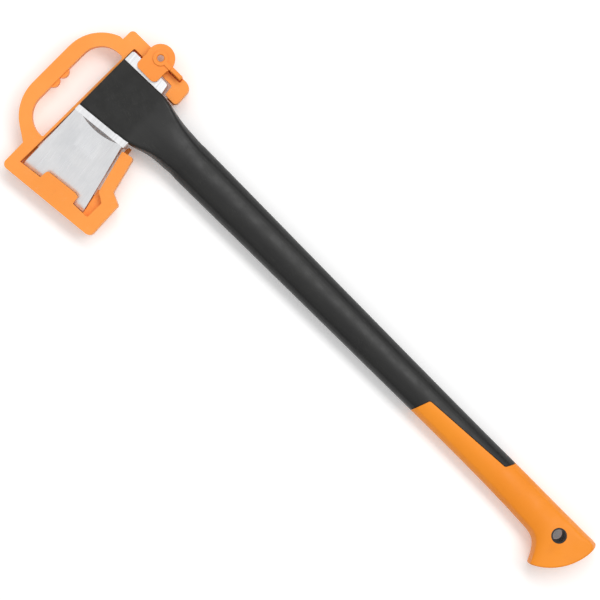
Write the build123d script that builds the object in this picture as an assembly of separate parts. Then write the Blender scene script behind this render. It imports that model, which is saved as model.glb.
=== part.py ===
from build123d import *
import os
from math import atan, cos, radians, sin, tan

# A splitting-pattern felling axe in its moulded transport guard, lying on its side.
# Drawing frame (mm): x runs from the knob's tip to the top of the head, y from the handle's
# centre line towards the cutting edge (the poll is at -y), and z up from the axe's mid-plane.
# At the end everything is moved so that the origin is under the centre of the whole box.

# ---- driving dimensions -------------------------------------------------------------------
AXE_LENGTH = 710.0  # knob tip to the top of the head
COLLAR_HALF = 20.0  # half thickness of the boxy collar, which the axe lies on
TALL = 3 * COLLAR_HALF  # height of cutting shapes that only have to be tall enough

# steel head
HEAD_TOP = AXE_LENGTH
TOE = (709.7, 124.5)  # cutting edge at the toe
HEEL = (629.2, 115.8)  # cutting edge at the heel
EDGE_CROWN = 1.0  # how far the cutting edge bows out between toe and heel
EDGE_HALF = 0.05  # half thickness of the ground edge itself
SHOULDER_Y = 42.0  # where the cheek meets the flange beside the collar, at mid length
FLANGE_SLANT = 3.4  # the flange's edge runs parallel to the cutting edge
SHOULDER_X = 648.2
FLANGE_HALF = 18.0
FLANGE_FOOT_X = 645.4
POLL_Y = -41.4
POLL_FOOT_X = 659.5
POLL_HALF = 14.0
WAIST_HALF = 6.0  # the head's narrow middle, gripped by the handle's moulding
HEAD_FOOT_X = 650.0
POLL_ROUND = 3.0
WINDOW = [(700, -13, 4), (700, 15, 4), (661, 15, 4), (661, -13, 4)]

BLADE_ROOT = 6.5  # the blade's wedge runs this far into the flange
TOE_SIDE_INSET = 0.4  # the blade's upper side lies this far below the head's top
# outline of everything but the blade, (x, y, rounding)
HEAD_PLAN = [
    (HEAD_TOP, SHOULDER_Y + FLANGE_SLANT, 0.8),
    (HEAD_TOP, POLL_Y, POLL_ROUND),
    (POLL_FOOT_X, POLL_Y, POLL_ROUND),
    (POLL_FOOT_X - 2, -30.5, 0),
    (HEAD_FOOT_X + 4, -20, 0),
    (HEAD_FOOT_X, 20, 0),
    (FLANGE_FOOT_X, 29, 0),
    (FLANGE_FOOT_X, SHOULDER_Y - FLANGE_SLANT, 0.8),
]
# half thickness by distance from the centre line: poll, waist inside the moulding, flange
HEAD_HALF = [
    (POLL_Y - 1, POLL_HALF),
    (-25, POLL_HALF),
    (-16, WAIST_HALF),
    (18, WAIST_HALF),
    (28, FLANGE_HALF),
    (SHOULDER_Y + 2 * FLANGE_SLANT, FLANGE_HALF),
]

# half thickness of the blade by distance from the cutting edge
CHEEK = [(7, 2.1), (22, 4.6), (42, 8.6), (60, 12.8), (77.5, 17.2), (90, 17.2)]

# hollow ground into each cheek, measured from the heel along the edge and inwards from it
SCOOP_ALONG = 38.5
SCOOP_WIDTH = 46.0
SCOOP_DEPTH = 2.7
SCOOP_RADIUS = SCOOP_WIDTH**2 / 8 / SCOOP_DEPTH
SCOOP_FAR = 74.5
SCOOP_HEIGHT = 16.4
SCOOP_NEAR = 16.0
SCOOP_LOW = 3.4
SCOOP_WALL = 4.2  # length of the steep wall that ends the hollow beside the flange
SCOOP_CLEAR = 1.0  # height over which that wall rises clear of the cheek

# handle and grip
CORNER = 3.0  # corner radius of the boxy collar
OVAL_LIMIT = 22.0  # half depth beyond which the corners of a section stop growing
ELLIPSE_CROWN = 0.134  # crown of an ellipse's face between its half-width points
CORNER_PULL = 0.55  # reach of a corner curve's control points, as a share of the corner's size
OVAL_PULL = 0.08
FLAT_HANDLE = 0.72  # reach of a face curve's control points, as a share of its half width
GRIP_WALL = 2.6  # thickness of the soft overmould
HOLLOW_INSET = 5.2  # depth of the hollow shaft's cavity under the handle's surface
GROOVE = 0.7  # groove between the overmould and the shaft
CORE_END_X = 92.0  # where the composite core stops inside the grip
PLUG_DEPTH = 24.0
PLUG_FLANGE = 6.0
FIT_GAP = 0.1

# hang hole through the knob
HOLE = (36.0, 2.8)
HOLE_R = 6.6
LINER_WALL = 1.7
LINER_HALF = 17.3

# guard
GUARD_TOP = 9.0
GUARD_BOTTOM = -8.0
FLOOR_THICK = 3.5  # lip under the cutting edge
GUARD_GAP = 1.2  # clearance round the head
EAR_TOP = 15.0  # the boss that carries the lock stands above the frame
CARRY_BOTTOM = -5.0  # underside of the slimmer carry handle
BUMP_TOP = 6.0  # the finger bumps stop short of the carry handle's face
LEDGE_BOTTOM = -17.5  # underside of the small ledge that holds the poll

# the frame round the head, one open hook of a moulding; corners are (x, y, rounding)
GUARD_OUTLINE = [
    (724.2, 141.0, 6),
    (724.6, 107.5, 2),
    (714.2, 92.0, 0),
    (713.4, -28.0, 0),
    (727.0, -42.0, 0),
    (726.8, -56.8, 5),
    (639.8, -57.3, 9),
    (638.6, -31.9, 3.5),
    (654.4, -32.2, 1),
    (655.8, -43.8, 2),
    (711.6, -43.8, 2),
    (711.0, 44.0, 0),
    (712.6, 125.0, 0),
    (686.0, 121.6, 1),
    (685.2, 111.5, 3),
    (648.6, 107.4, 3),
    (643.2, 108.4, 2),
    (642.3, 117.2, 1),
    (621.4, 116.6, 2),
    (621.0, 95.6, 2),
    (631.6, 89.0, 2),
    (644.4, 41.4, 1.5),
    (630.8, 38.6, 3),
    (620.4, 79.0, 2),
    (606.9, 84.9, 2.5),
    (604.9, 129.4, 6),
]
CARRY_OUTLINE = [
    (714.2, 115.5, 0),
    (761.9, 83.5, 50),
    (761.9, -30.0, 48),
    (731.0, -42.2, 0),
    (713.4, -42.2, 0),
]
CARRY_GAP = [
    (713.9, 90.1, 3),
    (745.4, 91.0, 27),
    (745.4, -28.5, 26),
    (713.4, -28.6, 3),
]
FINGER_BUMPS_Y = (40.4, 26.5)
BUMP_R = 7.0
BUMP_X = 748.5
BAND_INNER_DROP = 11.9  # the ear stops level with the band's inner face
BLADE_FLOOR = [(712, 101, 0), (712, 130, 0), (622, 122, 0), (622, 94, 0)]
POLL_LEDGE = [(712.5, -33, 0), (712.5, -46, 0), (690, -46, 0), (690, -33, 0)]
POLL_POST = [(711.8, -33, 0), (718, -33, 0), (724, -40, 0), (724, -54, 2), (711.8, -54, 2)]
HEEL_PAD = [(628.2, 118.5, 0), (619, 118.5, 0), (619, 94, 0), (632, 87, 0), (635, 88, 0)]
HEEL_PAD_TOP = -1.0
# low lugs under the ends of the arm and of the hook, which reach towards the handle's neck
LUGS = [
    [(643.6, 44.5, 0), (644.9, 37, 0), (643.4, 33.8, 0), (640.4, 33.8, 0), (638.6, 44.5, 0)],
    [(652, -38, 0), (652, -30.8, 0), (642, -30.8, 0), (642, -38, 0)],
]
LUG_POSTS = [
    [(643.6, 46, 0), (643.6, 42.3, 0), (638.6, 41.3, 0), (638.6, 46, 0)],
    [(652, -38, 0), (652, -33.5, 0), (642, -33.5, 0), (642, -38, 0)],
]
LUG_TOP = -15.3
LEVER_NOTCH = [(652.4, -62, 0), (652.4, -51.5, 1), (669.4, -51.5, 1), (669.4, -62, 0)]
LEVER_NOTCH_FLOOR = 4.0

# lock: a flat catch on a hollow hub that turns in the guard's ear, held from below by a ring
PIVOT = (683.8, -55.7)
EAR_R = 13.6
DISC_R = 15.2
LOCK_UNDER = EAR_TOP + 0.3
LOCK_THICK = 3.0
LOCK_TOP = LOCK_UNDER + LOCK_THICK
TAB_REACH = 23.8
TAB_HALF = 14.0
TAB_ROUND = 5.5
RING_R = 8.0
RING_HEIGHT = 1.8
SEE_THROUGH_R = 3.6
COUNTERSINK = 0.9
HUB_R = 10.0
HUB_BORE = 8.4
HUB_ROOF = 0.6  # the hub's bore stops this far above the catch's underside
HUB_END = -11.6
BEARING_FIT = 0.08
LEVER_REACH = 30.3
LEVER_WIDTH = 5.0
LEVER_HEIGHT = 3.2
LEVER_ROUND = 1.2
THUMB_START = 15.8  # the lever is thick from here to its end
THUMB_LIFT = 0.5  # clearance between the thumb piece and the notch's floor
RETAINER_R = 12.6
RETAINER_THICK = 3.0
RETAINER_GAP = 0.3

# Handle stations: x, poll-side y, blade-side y, half thickness, roundness (0 boxy, 1 oval).
COLLAR = [
    (AXE_LENGTH, -28.5, 38.5, COLLAR_HALF, 0.0),
    (684, -29.2, 35.9, COLLAR_HALF, 0.0),
    (662, -29.8, 33.7, COLLAR_HALF, 0.0),
]
NECK = [
    COLLAR[-1],
    (648, -29.6, 32.1, 19.5, 0.06),
    (638, -27.8, 29.9, 19.0, 0.22),
    (628, -25.7, 26.6, 18.4, 0.42),
    (618, -24.3, 24.4, 17.9, 0.62),
    (606, -23.5, 23.5, 17.2, 0.8),
    (586, -23.1, 23.1, 16.6, 1.0),
]
SHAFT = [
    NECK[-1],
    (534, -22.6, 22.6, 16.2, 1.0),
    (429, -21.4, 21.4, 15.7, 1.0),
    (323, -20.3, 20.3, 15.2, 1.0),
    (218, -19.4, 19.4, 14.8, 1.0),
    (112, -19.3, 20.0, 15.0, 1.0),
]
KNOB_STEP = 12.0
KNOB_STEPS = 10
KNOB_SWELL_STEPS = 5  # the front edge swells over this many steps
KNOB_SWELL = 2.6
KNOB_BACK_DROP = 0.5
FLARE_START_X = 61.0
FLARE_RATE, FLARE_POWER = 0.024, 2.2
KNOB_HALF = 21.6  # half thickness that the handle swells towards at its rear end
KNOB_SQUARING = 0.3  # how much of its roundness a section loses by the end
# end face of the knob: an arc from the back of the knob to the tip of the hook
END_ARC = [(0.0, -19.5), (8.0, 19.0), (41.0, 47.5)]
END_ROUND = 1.8

# where the overmould's front part stops, (x, y, rounding): across, then a long slant to the back edge
GRIP_EDGE = [
    (237.8, 40.0, 0),
    (237.5, 18.2, 0),
    (230.6, -1.6, 3),
    (126.0, -8.2, 3),
    (120.4, -18.0, 3),
    (117.4, -40.0, 0),
]
GRIP_REAR = [(-60.0, -40.0, 0), (-60.0, 80.0, 0), (GRIP_EDGE[0][0], 80.0, 0)]
CORE_BEYOND_EDGE = 30.0  # the slimmer core runs this far past the overmould's front end


def knob_stations():
    """The rear end: a straight bar that widens in thickness and flares into the hook."""
    start_x, back, front, half, roundness = SHAFT[-1]
    rows = [SHAFT[-1]]
    for step in range(1, KNOB_STEPS + 1):
        x = start_x - step * KNOB_STEP
        run = step / KNOB_STEPS
        reach = front + KNOB_SWELL * min(step / KNOB_SWELL_STEPS, 1.0) ** 1.5
        if x < FLARE_START_X:
            reach += FLARE_RATE * (FLARE_START_X - x) ** FLARE_POWER
        swell = (KNOB_HALF - half) * run**1.2
        drop = KNOB_BACK_DROP * min(2 * run, 1.0)
        rows.append((x, back + drop, reach, half + swell, roundness - KNOB_SQUARING * run))
    return rows


def section(x, back, front, half, roundness, inset=0.0):
    """One cross-section of the handle: flat sides joined by corners at roundness 0, an oval at 1."""
    depth = (front - back) / 2 - inset
    thick = half - inset
    mid = (front + back) / 2
    corner = CORNER - min(inset, CORNER / 2)
    oval = min(depth, OVAL_LIMIT)
    corner_y = corner + (oval / 2 - corner) * roundness
    corner_z = corner + (thick / 2 - corner) * roundness
    crown_z = ELLIPSE_CROWN * thick * roundness
    crown_y = ELLIPSE_CROWN * oval * roundness
    flat_y, flat_z = depth - corner_y, thick - corner_z
    lean_z, lean_y = 2 * atan(crown_z / flat_y), 2 * atan(crown_y / flat_z)
    pull = CORNER_PULL * (corner_y + corner_z) / 2 * (1 + OVAL_PULL * roundness)
    broad_z, narrow_y = thick - crown_z, depth - crown_y
    step_y, step_z = FLAT_HANDLE * flat_y, FLAT_HANDLE * flat_z

    # one quarter of the outline, from the middle of the broad face to the middle of the narrow one
    broad = [(flat_y - step_y * cos(lean_z), broad_z + step_y * sin(lean_z)), (flat_y, broad_z)]
    turn = [
        (flat_y + pull * cos(lean_z), broad_z - pull * sin(lean_z)),
        (narrow_y - pull * sin(lean_y), flat_z + pull * cos(lean_y)),
    ]
    narrow = [(narrow_y, flat_z), (narrow_y + step_z * sin(lean_y), flat_z - step_z * cos(lean_y))]

    def flip(points, sy, sz):
        return [Vector(x, mid + sy * y, sz * z) for y, z in points]

    curves = [
        flip(broad[::-1], -1, 1) + flip(broad, 1, 1),
        flip([broad[1]] + turn + [narrow[0]], 1, 1),
        flip(narrow, 1, 1) + flip(narrow[::-1], 1, -1),
        flip([narrow[0]] + turn[::-1] + [broad[1]], 1, -1),
        flip(broad[::-1], 1, -1) + flip(broad, -1, -1),
        flip([broad[1]] + turn + [narrow[0]], -1, -1),
        flip(narrow, -1, -1) + flip(narrow[::-1], -1, 1),
        flip([narrow[0]] + turn[::-1] + [broad[1]], -1, 1),
    ]
    return Wire([Edge.make_bezier(*points) for points in curves])


def loft_rows(rows, inset=0.0):
    return Solid.make_loft([section(*row, inset=inset) for row in rows])


def outline(corners):
    """A closed face from (x, y, rounding radius) corners."""
    edges, joints = [], []
    count = len(corners)
    for i, (x, y, radius) in enumerate(corners):
        here = Vector(x, y)
        back = (Vector(*corners[i - 1][:2]) - here).normalized()
        ahead = (Vector(*corners[(i + 1) % count][:2]) - here).normalized()
        half_angle = radians(back.get_angle(ahead) / 2)
        if radius == 0:
            joints.append((here, here))
            continue
        reach = radius / tan(half_angle)
        toward = (back + ahead).normalized()
        middle = here + toward * (radius / sin(half_angle) - radius)
        joints.append((here + back * reach, here + ahead * reach))
        edges.append(Edge.make_three_point_arc(here + back * reach, middle, here + ahead * reach))
    for i in range(count):
        edges.append(Edge.make_line(joints[i - 1][1], joints[i][0]))
    return Face(Wire(edges))


def plate(corners, low, high):
    """A flat moulding between two heights."""
    return extrude(Pos(0, 0, low) * outline(corners), amount=high - low, dir=(0, 0, 1))


def rod(centre, radius, low, high):
    return Pos(centre[0], centre[1], low) * Cylinder(
        radius, high - low, align=(Align.CENTER, Align.CENTER, Align.MIN)
    )


def tower(face):
    """A face drawn out far above and far below the mid-plane."""
    return extrude(Pos(0, 0, -TALL) * face, amount=2 * TALL, dir=(0, 0, 1))


def polygon(corners):
    """A flat face from Vector corners in any plane."""
    return Face(Wire([Edge.make_line(a, b) for a, b in zip(corners, corners[1:] + corners[:1])]))


def slab(x_low, x_high):
    """Everything between two planes across the handle."""
    return Pos((x_low + x_high) / 2, 0, 0) * Box(x_high - x_low, 2 * AXE_LENGTH, 2 * TALL)


def envelope():
    """The handle's whole outer form, from the head's top to the knob's arc-shaped end."""
    low, middle, tip = (Vector(*point) for point in END_ARC)
    front_x = SHAFT[-1][0]
    front = [tip, Vector(front_x, tip.Y), Vector(front_x, low.Y), low]
    end = [Edge.make_line(a, b) for a, b in zip(front, front[1:])]
    kept = tower(Face(Wire([Edge.make_three_point_arc(low, middle, tip)] + end)))
    knob = loft_rows(knob_stations()) & kept
    end_face = min(knob.faces(), key=lambda face: face.center().X)
    knob = fillet(end_face.edges(), END_ROUND)
    return loft_rows(COLLAR) + loft_rows(NECK) + loft_rows(SHAFT) + knob


def inner_form(inset, x_low, x_high):
    """A smaller copy of the shaft and of the straight start of the knob, between two planes."""
    start = knob_stations()[:4]
    return (loft_rows(SHAFT, inset) + loft_rows(start, inset)) & slab(x_low, x_high)


def grip_region(grown):
    """Everything behind the line where the soft overmould stops."""
    face = outline(GRIP_EDGE + GRIP_REAR)
    if grown:
        face = offset(face, amount=grown, kind=Kind.INTERSECTION)
    return tower(face)


# ---- the steel head -----------------------------------------------------------------------
def along_edge():
    """The cutting edge's direction, and the direction from it into the head."""
    along = (Vector(*TOE) - Vector(*HEEL)).normalized()
    return along, Vector(along.Y, -along.X, 0)


def slanted(points):
    """A profile (distance from the cutting edge, height) drawn out well past the toe and the heel."""
    along, inward = along_edge()
    start = Vector(*HEEL) - along * TALL
    face = polygon([start + inward * v + Vector(0, 0, z) for v, z in points])
    return extrude(face, amount=4 * TALL, dir=along)


def wedge(gap=0.0):
    """The blade: a slim wedge that thickens towards the shoulder; gap grows it on every side."""
    half = [(-EDGE_CROWN - gap, EDGE_HALF + gap)] + [(v, z + gap) for v, z in CHEEK]
    body = slanted(half + [(v, -z) for v, z in reversed(half)])
    crown = Vector((TOE[0] + HEEL[0]) / 2, (TOE[1] + HEEL[1]) / 2 + EDGE_CROWN + gap)
    toe, heel = Vector(TOE[0] + gap, TOE[1] + gap), Vector(HEEL[0] - gap, HEEL[1] + gap)
    root_y = SHOULDER_Y - BLADE_ROOT
    root = [Vector(HEAD_TOP - TOE_SIDE_INSET + gap, root_y), Vector(SHOULDER_X - gap, root_y)]
    edges = [
        Edge.make_three_point_arc(heel, crown, toe),
        Edge.make_line(toe, root[0]),
        Edge.make_line(root[0], root[1]),
        Edge.make_line(root[1], heel),
    ]
    return body & tower(Face(Wire(edges)))


def scoop(side):
    """The hollow ground into a cheek: a long shallow cylinder that ends at a flat, steep wall."""
    deep, shallow = Vector(SCOOP_FAR, SCOOP_HEIGHT - SCOOP_DEPTH), Vector(SCOOP_NEAR, SCOOP_LOW)
    along, inward = along_edge()
    slope = atan((deep.Y - shallow.Y) / (deep.X - shallow.X))
    axis = inward * cos(slope) + Vector(0, 0, side * sin(slope))
    up = Vector(0, 0, side * cos(slope)) - inward * sin(slope)
    foot = Vector(*HEEL) + along * SCOOP_ALONG + inward * shallow.X + Vector(0, 0, side * shallow.Y)
    trough = Plane(foot + up * SCOOP_RADIUS, x_dir=along, z_dir=axis) * Cylinder(
        SCOOP_RADIUS, 2 * SCOOP_FAR, align=(Align.CENTER, Align.CENTER, Align.MIN)
    )
    rise = Vector(SCOOP_WALL, SCOOP_DEPTH + SCOOP_CLEAR)
    foot_v, head_v = deep - rise, deep + rise * 3
    wall = [(0, foot_v.Y), (foot_v.X, foot_v.Y), (head_v.X, head_v.Y), (0, head_v.Y)]
    return trough & slanted([(v, side * z) for v, z in wall])


def head_core():
    """The flange, waist and poll that run through the collar."""
    ring = HEAD_HALF + [(y, -z) for y, z in reversed(HEAD_HALF)]
    bar = extrude(
        polygon([Vector(HEAD_FOOT_X - TALL, y, z) for y, z in ring]), amount=3 * TALL, dir=(1, 0, 0)
    )
    return bar & plate(HEAD_PLAN, -TALL, TALL)


def make_head():
    """Blade, flange, waist and poll in one forging, with a window that the collar's moulding fills."""
    return wedge() - scoop(1) - scoop(-1) + head_core() - plate(WINDOW, -TALL, TALL)


# ---- handle, plug, liner and grip ---------------------------------------------------------
def make_core():
    return inner_form(GRIP_WALL, CORE_END_X, GRIP_EDGE[0][0] + CORE_BEYOND_EDGE)


def make_handle(form, core, head):
    shell = (form - grip_region(GROOVE)) + core
    cavity = inner_form(HOLLOW_INSET, CORE_END_X - 1, SHAFT[0][0])
    return shell - cavity - head


def make_plug():
    """Closes the hollow shaft inside the grip, so that the soft moulding can't fill it."""
    spigot = inner_form(HOLLOW_INSET + FIT_GAP, CORE_END_X, CORE_END_X + PLUG_DEPTH)
    return spigot + inner_form(GRIP_WALL, CORE_END_X - PLUG_FLANGE, CORE_END_X)


def make_liner():
    tube = rod(HOLE, HOLE_R + LINER_WALL, -LINER_HALF, LINER_HALF)
    return tube - rod(HOLE, HOLE_R, -TALL, TALL)


def make_grip(form, core, plug):
    return (form & grip_region(0)) - core - plug - rod(HOLE, HOLE_R + LINER_WALL, -TALL, TALL)


# ---- guard --------------------------------------------------------------------------------
def make_guard():
    """A hook-shaped frame round the head with a carry handle, an ear for the lock and small ledges."""
    guard = plate(GUARD_OUTLINE, GUARD_BOTTOM, GUARD_TOP)
    guard += plate(CARRY_OUTLINE, CARRY_BOTTOM, GUARD_TOP) - plate(CARRY_GAP, -TALL, TALL)
    for y in FINGER_BUMPS_Y:
        guard += rod((BUMP_X, y), BUMP_R, CARRY_BOTTOM, BUMP_TOP)
    x, y = PIVOT
    outer_half = Pos(x, y - TALL + BAND_INNER_DROP, 0) * Box(2 * TALL, 2 * TALL, 2 * TALL)
    guard += rod(PIVOT, EAR_R, GUARD_BOTTOM, EAR_TOP) & outer_half
    guard += plate(BLADE_FLOOR, GUARD_BOTTOM, GUARD_BOTTOM + FLOOR_THICK)
    guard += plate(HEEL_PAD, GUARD_BOTTOM, HEEL_PAD_TOP)
    for lug, post in zip(LUGS, LUG_POSTS):
        guard += plate(lug, LEDGE_BOTTOM, LUG_TOP) + plate(post, LEDGE_BOTTOM, GUARD_BOTTOM + FLOOR_THICK)
    guard += plate(POLL_POST, LEDGE_BOTTOM, GUARD_BOTTOM + FLOOR_THICK)
    guard += plate(POLL_LEDGE, LEDGE_BOTTOM, -POLL_HALF)
    guard -= wedge(GUARD_GAP)
    guard -= rod(PIVOT, HUB_R + BEARING_FIT, -TALL, TALL)
    return guard - plate(LEVER_NOTCH, LEVER_NOTCH_FLOOR, TALL)


# ---- lock ---------------------------------------------------------------------------------
def lever_bar(start, low, high):
    """The lever between start and its end, both measured from the pivot towards the knob."""
    x, y = PIVOT
    half = LEVER_WIDTH / 2
    corners = [
        (x - LEVER_REACH, y - half, LEVER_ROUND),
        (x - LEVER_REACH, y + half, LEVER_ROUND),
        (x - start, y + half, 0),
        (x - start, y - half, 0),
    ]
    return plate(corners, low, high)


def make_lock():
    x, y = PIVOT
    tab = [
        (x + TAB_HALF, y, 0),
        (x + TAB_HALF, y + TAB_REACH, TAB_ROUND),
        (x - TAB_HALF, y + TAB_REACH, TAB_ROUND),
        (x - TAB_HALF, y, 0),
    ]
    ring_top = LOCK_TOP + RING_HEIGHT
    lock = rod(PIVOT, DISC_R, LOCK_UNDER, LOCK_TOP) + plate(tab, LOCK_UNDER, LOCK_TOP)
    lock += rod(PIVOT, RING_R, LOCK_TOP, ring_top)
    lock += lever_bar(SEE_THROUGH_R, LOCK_UNDER, ring_top)
    lock += lever_bar(THUMB_START, LEVER_NOTCH_FLOOR + THUMB_LIFT, LOCK_TOP + LEVER_HEIGHT)
    lock += rod(PIVOT, HUB_R, HUB_END, LOCK_UNDER)
    lock -= rod(PIVOT, HUB_BORE, -TALL, LOCK_UNDER + HUB_ROOF)
    lock -= rod(PIVOT, SEE_THROUGH_R, -TALL, TALL)
    rim = [edge for edge in lock.edges().filter_by(GeomType.CIRCLE) if edge.center().Z > ring_top - 0.01]
    return chamfer([edge for edge in rim if edge.radius < RING_R - 1], COUNTERSINK)


def make_retainer():
    high = GUARD_BOTTOM - RETAINER_GAP
    return rod(PIVOT, RETAINER_R, high - RETAINER_THICK, high) - rod(PIVOT, HUB_R, -TALL, TALL)


def main():
    form = envelope()
    head = make_head()
    core = make_core()
    plug = make_plug()
    parts = {
        "axe_head": head,
        "handle_shaft": make_handle(form, core, head),
        "handle_end_plug": plug,
        "hang_hole_liner": make_liner(),
        "grip_overmould": make_grip(form, core, plug),
        "guard_frame": make_guard(),
        "lock_plate": make_lock(),
        "lock_retainer": make_retainer(),
    }
    boxes = [part.bounding_box() for part in parts.values()]
    low = [min(getattr(box.min, axis) for box in boxes) for axis in "XYZ"]
    high = [max(getattr(box.max, axis) for box in boxes) for axis in "XYZ"]
    move = Pos(-(low[0] + high[0]) / 2, -(low[1] + high[1]) / 2, -low[2])
    os.makedirs("parts", exist_ok=True)
    for name, part in parts.items():
        export_step(move * part, f"parts/{name}.step")
    print("moved by", move.position, "size", [round(b - a, 3) for a, b in zip(low, high)])


if __name__ == "__main__":
    main()
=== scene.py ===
from math import radians

import bmesh
import bpy
from mathutils import Matrix, Vector


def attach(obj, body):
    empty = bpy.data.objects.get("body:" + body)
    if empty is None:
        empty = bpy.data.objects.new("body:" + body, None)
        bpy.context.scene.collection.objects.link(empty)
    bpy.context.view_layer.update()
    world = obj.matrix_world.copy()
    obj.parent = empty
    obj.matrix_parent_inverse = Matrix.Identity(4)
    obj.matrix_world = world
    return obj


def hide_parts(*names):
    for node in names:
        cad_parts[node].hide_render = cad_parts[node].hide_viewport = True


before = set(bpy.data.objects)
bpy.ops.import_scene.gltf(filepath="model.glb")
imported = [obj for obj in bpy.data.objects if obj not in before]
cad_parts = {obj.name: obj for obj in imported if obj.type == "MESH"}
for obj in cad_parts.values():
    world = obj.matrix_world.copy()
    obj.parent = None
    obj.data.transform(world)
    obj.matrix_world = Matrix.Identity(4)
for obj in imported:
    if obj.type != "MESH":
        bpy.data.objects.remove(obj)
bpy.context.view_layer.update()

MM = 0.001


def srgb(red, green, blue):
    """A linear colour from 0-255 display values."""

    def channel(value):
        value /= 255
        return value / 12.92 if value <= 0.04045 else ((value + 0.055) / 1.055) ** 2.4

    return (channel(red), channel(green), channel(blue), 1.0)


# ---- material building blocks ---------------------------------------------------------------
class Surface:
    """A Principled material with small helpers for its procedural nodes."""

    def __init__(self, name, **sockets):
        self.material = bpy.data.materials.new(name)
        self.material.use_nodes = True
        self.tree = self.material.node_tree
        self.shader = self.tree.nodes["Principled BSDF"]
        for key, value in sockets.items():
            self.shader.inputs[key.replace("_", " ")].default_value = value
        self.coords = self.tree.nodes.new("ShaderNodeTexCoord").outputs["Object"]

    def node(self, kind, inputs=(), **settings):
        made = self.tree.nodes.new(kind)
        for key, value in settings.items():
            setattr(made, key, value)
        for key, value in dict(inputs).items():
            if isinstance(value, bpy.types.NodeSocket):
                self.tree.links.new(value, made.inputs[key])
            else:
                made.inputs[key].default_value = value
        return made

    def stretched(self, scale, turn=0.0):
        """Object coordinates turned about Z and then scaled."""
        turned = self.node(
            "ShaderNodeVectorRotate", {"Vector": self.coords, "Angle": turn}, rotation_type="Z_AXIS"
        )
        return self.node(
            "ShaderNodeVectorMath", {0: turned.outputs[0], 1: scale}, operation="MULTIPLY"
        ).outputs[0]

    def noise(self, scale, detail=3.0, roughness=0.5, vector=None, distortion=0.0):
        inputs = {
            "Vector": self.coords if vector is None else vector,
            "Scale": scale,
            "Detail": detail,
            "Roughness": roughness,
            "Distortion": distortion,
        }
        return self.node("ShaderNodeTexNoise", inputs).outputs["Fac"]

    def cells(self, scale):
        return self.node("ShaderNodeTexVoronoi", {"Vector": self.coords, "Scale": scale}).outputs["Distance"]

    def ramp(self, value, low, high, start=0.0, end=1.0):
        """value remapped smoothly from low..high to start..end."""
        inputs = {"Value": value, "From Min": low, "From Max": high, "To Min": start, "To Max": end}
        return self.node("ShaderNodeMapRange", inputs, interpolation_type="SMOOTHSTEP").outputs["Result"]

    def math(self, operation, first, second):
        return self.node("ShaderNodeMath", {0: first, 1: second}, operation=operation).outputs[0]

    def mix(self, factor, first, second):
        made = self.node("ShaderNodeMix", data_type="RGBA")
        for slot, value in ((0, factor), (6, first), (7, second)):
            if isinstance(value, bpy.types.NodeSocket):
                self.tree.links.new(value, made.inputs[slot])
            else:
                made.inputs[slot].default_value = value
        return made.outputs[2]

    def axis(self, name):
        return self.node("ShaderNodeSeparateXYZ", {0: self.coords}).outputs[name]

    def bump(self, height, strength, distance, under=None):
        inputs = {"Height": height, "Strength": strength, "Distance": distance}
        if under is not None:
            inputs["Normal"] = under
        return self.node("ShaderNodeBump", inputs).outputs["Normal"]

    def drive(self, **sockets):
        for key, value in sockets.items():
            self.tree.links.new(value, self.shader.inputs[key.replace("_", " ")])


SCRATCH_WIDTH = 0.012  # share of the noise's range that a scratch takes up


def scratches(surface, scale, turn, density):
    """Thin broken lines: narrow peaks of a noise that is long in one direction."""
    lines = surface.noise(1.0, 2.0, 0.5, surface.stretched(scale, turn))
    off_centre = surface.math("ABSOLUTE", surface.math("SUBTRACT", lines, 0.5), 0.0)
    peaks = surface.ramp(off_centre, 0.0, SCRATCH_WIDTH, 1.0, 0.0)
    patches = surface.ramp(surface.noise(34.0, 2.0), density, density + 0.08)
    return surface.math("MULTIPLY", peaks, patches)


def moulded_orange(name, light, deep, roughness, grain):
    """Moulded polymer: spark-eroded grain, slow colour drift, handling scuffs and a little grime."""
    surface = Surface(
        name,
        Subsurface_Weight=0.06,
        Subsurface_Radius=(0.004, 0.0018, 0.0006),
        Subsurface_Scale=0.6,
        Specular_IOR_Level=0.42,
    )
    drift = surface.ramp(surface.noise(11.0, 3.0, 0.55), 0.3, 0.7)
    colour = surface.mix(drift, light, deep)
    mottle = surface.ramp(surface.noise(190.0, 4.0, 0.6), 0.35, 0.75, 0.0, 0.22)
    colour = surface.mix(mottle, colour, deep)
    marks = scratches(surface, (700.0, 60.0, 160.0), 0.6, 0.52)
    colour = surface.mix(surface.math("MULTIPLY", marks, 0.3), colour, srgb(255, 205, 150))
    grime = surface.ramp(surface.noise(46.0, 5.0, 0.7, distortion=0.6), 0.6, 0.8, 0.0, 0.16)
    colour = surface.mix(grime, colour, srgb(168, 84, 26))
    fine = surface.noise(grain, 2.0, 0.6)
    satin = surface.ramp(fine, 0.3, 0.7, roughness, roughness + 0.12)
    rough = surface.math("ADD", satin, surface.math("MULTIPLY", marks, 0.12))
    relief = surface.math("ADD", fine, surface.math("MULTIPLY", surface.noise(grain * 0.31, 2.0), 0.8))
    normal = surface.bump(relief, 0.35, 0.00006)
    normal = surface.bump(marks, 0.35, -0.00005, normal)
    surface.drive(Base_Color=colour, Roughness=rough, Normal=normal)
    return surface.material


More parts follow.
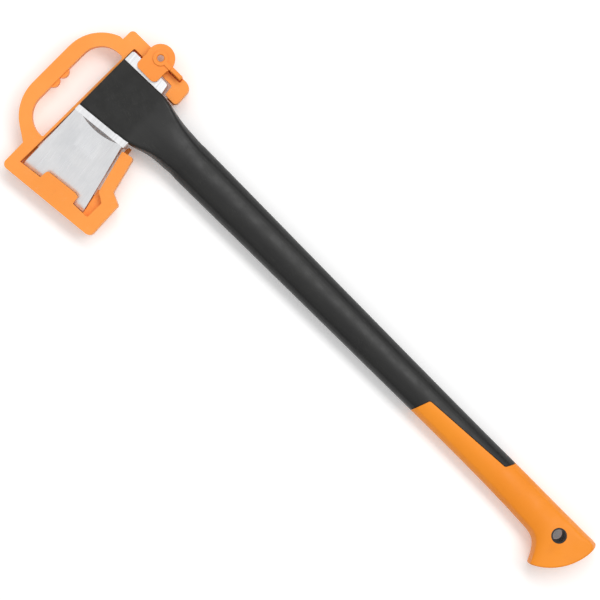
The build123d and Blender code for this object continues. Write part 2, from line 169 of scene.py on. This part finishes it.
def soft_grip():
    surface = Surface("soft_orange_grip", Specular_IOR_Level=0.35, Sheen_Weight=0.04, Sheen_Roughness=0.5)
    drift = surface.ramp(surface.noise(9.0, 3.0, 0.5), 0.3, 0.7)
    colour = surface.mix(drift, srgb(250, 150, 30), srgb(244, 141, 22))
    handled = surface.ramp(surface.noise(30.0, 5.0, 0.65, distortion=0.5), 0.52, 0.8, 0.0, 0.22)
    colour = surface.mix(handled, colour, srgb(196, 98, 18))
    dots = surface.cells(620.0)
    grain = surface.noise(1500.0, 2.0, 0.6)
    rough = surface.ramp(surface.noise(60.0, 4.0, 0.6), 0.3, 0.7, 0.46, 0.6)
    relief = surface.math("ADD", surface.math("MULTIPLY", dots, 1.1), surface.math("MULTIPLY", grain, 0.5))
    surface.drive(Base_Color=colour, Roughness=rough, Normal=surface.bump(relief, 0.3, 0.00007))
    return surface.material


def black_composite():
    """Glass-filled moulding: a coarse matt texture on the collar's flats, satin everywhere else."""
    surface = Surface("black_composite", Specular_IOR_Level=0.4)
    collar = surface.ramp(surface.axis("X"), 0.262, 0.276)
    flow = surface.noise(1.0, 4.0, 0.6, surface.stretched((14.0, 90.0, 90.0)))
    colour = surface.mix(surface.ramp(flow, 0.3, 0.7), srgb(22, 22, 22), srgb(29, 29, 28))
    colour = surface.mix(surface.math("MULTIPLY", collar, 0.6), colour, srgb(38, 38, 37))
    strands = surface.noise(1.0, 2.0, 0.5, surface.stretched((260.0, 2400.0, 2400.0), 0.2))
    fibres = surface.ramp(strands, 0.66, 0.74)
    colour = surface.mix(surface.math("MULTIPLY", fibres, 0.35), colour, srgb(52, 52, 50))
    marks = scratches(surface, (60.0, 900.0, 300.0), 0.35, 0.5)
    colour = surface.mix(surface.math("MULTIPLY", marks, 0.3), colour, srgb(84, 84, 80))
    dust = surface.ramp(surface.noise(420.0, 3.0, 0.7), 0.62, 0.8, 0.0, 0.2)
    colour = surface.mix(dust, colour, srgb(70, 68, 64))
    satin = surface.ramp(surface.noise(75.0, 4.0, 0.6), 0.3, 0.7, 0.4, 0.5)
    matt = surface.math("ADD", satin, surface.math("MULTIPLY", collar, 0.25))
    grain = surface.noise(1100.0, 3.0, 0.65)
    coarse = surface.math("ADD", grain, surface.math("MULTIPLY", surface.cells(900.0), 0.8))
    relief = surface.math("MULTIPLY", coarse, surface.ramp(collar, 0.0, 1.0, 0.25, 1.0))
    surface.drive(Base_Color=colour, Roughness=matt, Normal=surface.bump(relief, 0.45, 0.00008))
    return surface.material


def ground_steel():
    """Belt-ground steel: fine lines that run from the shoulder to the edge, with scuffs and light stain."""
    surface = Surface("forged_steel", Metallic=1.0)
    turn = -0.107  # radians; the cutting edge leans by this much
    lines = surface.noise(1.0, 4.0, 0.65, surface.stretched((2600.0, 42.0, 300.0), turn))
    broad = surface.noise(1.0, 3.0, 0.6, surface.stretched((420.0, 12.0, 60.0), turn))
    cloud = surface.ramp(surface.noise(38.0, 4.0, 0.6), 0.3, 0.75)
    colour = surface.mix(cloud, srgb(232, 232, 233), srgb(222, 223, 225))
    colour = surface.mix(surface.ramp(lines, 0.35, 0.7, 0.0, 0.3), colour, srgb(202, 203, 206))
    stain = surface.ramp(surface.noise(120.0, 5.0, 0.7, distortion=0.8), 0.62, 0.8, 0.0, 0.14)
    colour = surface.mix(stain, colour, srgb(160, 152, 140))
    satin = surface.ramp(broad, 0.3, 0.7, 0.26, 0.38)
    rough = surface.math("ADD", satin, surface.math("MULTIPLY", stain, 0.5))
    marks = scratches(surface, (90.0, 1200.0, 400.0), 0.9, 0.54)
    relief = surface.math("ADD", lines, surface.math("MULTIPLY", broad, 0.7))
    normal = surface.bump(relief, 0.16, 0.00005)
    normal = surface.bump(marks, 0.2, -0.00004, normal)
    surface.drive(Base_Color=colour, Roughness=rough, Normal=normal)
    return surface.material


def pale_floor():
    surface = Surface("studio_floor", Specular_IOR_Level=0.1, Emission_Strength=0.15)
    tone = surface.ramp(surface.noise(3.0, 3.0), 0.3, 0.7)
    rough = surface.ramp(surface.noise(40.0, 3.0), 0.3, 0.7, 0.8, 0.9)
    surface.drive(Base_Color=surface.mix(tone, srgb(250, 250, 250), srgb(248, 248, 248)), Roughness=rough)
    return surface.material


GUARD = moulded_orange("orange_guard_plastic", srgb(255, 160, 66), srgb(252, 152, 56), 0.42, 1300.0)
LOCK = moulded_orange("orange_lock_plastic", srgb(253, 152, 56), srgb(249, 144, 46), 0.38, 1600.0)
GRIP = soft_grip()
BLACK = black_composite()
STEEL = ground_steel()

# node: (material, slot, body, edge rounding in mm and crease in degrees, or None to keep the CAD mesh)
PIECES = {
    "axe_head": (STEEL, "forged_steel", "root", (0.4, 22)),
    "handle_shaft": (BLACK, "black_composite", "root", None),
    "handle_end_plug": (BLACK, "black_composite", "root", None),
    "hang_hole_liner": (BLACK, "black_composite", "root", None),
    "grip_overmould": (GRIP, "soft_orange_grip", "root", None),
    "guard_frame": (GUARD, "orange_guard_plastic", "root", (0.8, 40)),
    "lock_plate": (LOCK, "orange_lock_plastic", "lock", (0.5, 40)),
    "lock_retainer": (LOCK, "orange_lock_plastic", "lock", None),
}


# how the rounded copies are made
MERGE_DISTANCE = 0.002 * MM
FLAT = 0.4  # degrees; facets that turn by less become one face
BEVEL_STEPS = 3
MOST_SMOOTHED = 35  # degrees; an edge that turns by more is never shaded smooth


def dress(obj, material):
    obj.data.materials.clear()
    obj.data.materials.append(material)


def rounded_copy(node, width, crease):
    """A copy of a CAD node's mesh, with every edge that turns by more than the crease rounded."""
    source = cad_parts[node]
    mesh = bpy.data.meshes.new(node + "_rounded")
    work = bmesh.new()
    work.from_mesh(source.data)
    bmesh.ops.remove_doubles(work, verts=work.verts, dist=MERGE_DISTANCE)
    bmesh.ops.dissolve_limit(
        work, angle_limit=radians(FLAT), use_dissolve_boundaries=False, verts=work.verts, edges=work.edges
    )
    sharp = [e for e in work.edges if len(e.link_faces) == 2 and e.calc_face_angle(0) > radians(crease)]
    bmesh.ops.bevel(
        work,
        geom=sharp,
        offset=width * MM,
        offset_type="OFFSET",
        segments=BEVEL_STEPS,
        profile=0.5,
        affect="EDGES",
        clamp_overlap=True,
        miter_outer="ARC",
    )
    bmesh.ops.recalc_face_normals(work, faces=work.faces)
    work.to_mesh(mesh)
    work.free()
    mesh.shade_smooth()
    mesh.set_sharp_from_angle(angle=radians(min(crease, MOST_SMOOTHED)))
    made = bpy.data.objects.new(node + "_rounded", mesh)
    bpy.context.scene.collection.objects.link(made)
    weights = made.modifiers.new("weighted", "WEIGHTED_NORMAL")
    weights.keep_sharp = True
    return made


for node, (material, slot, body, rounding) in PIECES.items():
    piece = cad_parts[node]
    dress(piece, material)
    if rounding:
        piece = rounded_copy(node, *rounding)
        dress(piece, material)
        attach(piece, body)
        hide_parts(node)

# ---- floor, light, camera -------------------------------------------------------------------
FLOOR_HALF = 9.0
FLOOR_Z = -0.0002  # just under the lowest point, so that nothing is cut by it
floor_corners = ((-1, -1), (1, -1), (1, 1), (-1, 1))
floor_mesh = bpy.data.meshes.new("floor")
floor_points = [(x * FLOOR_HALF, y * FLOOR_HALF, FLOOR_Z) for x, y in floor_corners]
floor_mesh.from_pydata(floor_points, [], [(0, 1, 2, 3)])
floor = bpy.data.objects.new("floor", floor_mesh)
bpy.context.scene.collection.objects.link(floor)
dress(floor, pale_floor())


def softbox(name, place, aim, size, watts):
    data = bpy.data.lights.new(name, "AREA")
    data.shape = "RECTANGLE"
    data.size, data.size_y = size
    data.energy = watts
    light = bpy.data.objects.new(name, data)
    light.location = place
    light.rotation_euler = (Vector(aim) - Vector(place)).to_track_quat("-Z", "Y").to_euler()
    bpy.context.scene.collection.objects.link(light)


softbox("long_key", place=(0.0, -1.45, 3.0), aim=(0.0, -0.03, 0.0), size=(3.4, 0.95), watts=50.0)


# how bright the tent is, by the height of the direction (0 level, 1 straight up)
TENT = ((0.3, 0.18), (0.93, 1.0), (0.99, 0.86))
TENT_STRENGTH = 1.04


def studio_world():
    """A white tent that darkens towards the horizon and a little straight overhead."""
    world = bpy.data.worlds.new("studio")
    world.use_nodes = True
    tree = world.node_tree
    direction = tree.nodes.new("ShaderNodeTexCoord").outputs["Generated"]
    height = tree.nodes.new("ShaderNodeSeparateXYZ")
    level = tree.nodes.new("ShaderNodeValToRGB")
    level.color_ramp.elements.new(TENT[1][0])
    for stop, (place, strength) in zip(level.color_ramp.elements, TENT):
        stop.position = place
        stop.color = (strength, strength, strength, 1.0)
    tree.links.new(direction, height.inputs[0])
    tree.links.new(height.outputs["Z"], level.inputs["Fac"])
    background = tree.nodes["Background"]
    background.inputs["Strength"].default_value = TENT_STRENGTH
    tree.links.new(level.outputs["Color"], background.inputs["Color"])
    return world


bpy.context.scene.world = studio_world()
bpy.context.scene.view_settings.view_transform = "Standard"

CAMERA_HEIGHT = 2.8  # above the axe's mid-plane
MID_PLANE = 0.020
CAMERA_OVER = (0.02125, -0.01475)  # the point that it looks straight down on
CAMERA_TURN = 225  # degrees about Z
CAMERA_ANGLE = 12.87  # degrees across the picture
camera_data = bpy.data.cameras.new("camera")
camera_data.angle = radians(CAMERA_ANGLE)
camera = bpy.data.objects.new("camera", camera_data)
place = Matrix.Translation((*CAMERA_OVER, MID_PLANE + CAMERA_HEIGHT))
camera.matrix_world = place @ Matrix.Rotation(radians(CAMERA_TURN), 4, "Z")
bpy.context.scene.collection.objects.link(camera)
bpy.context.scene.camera = camera
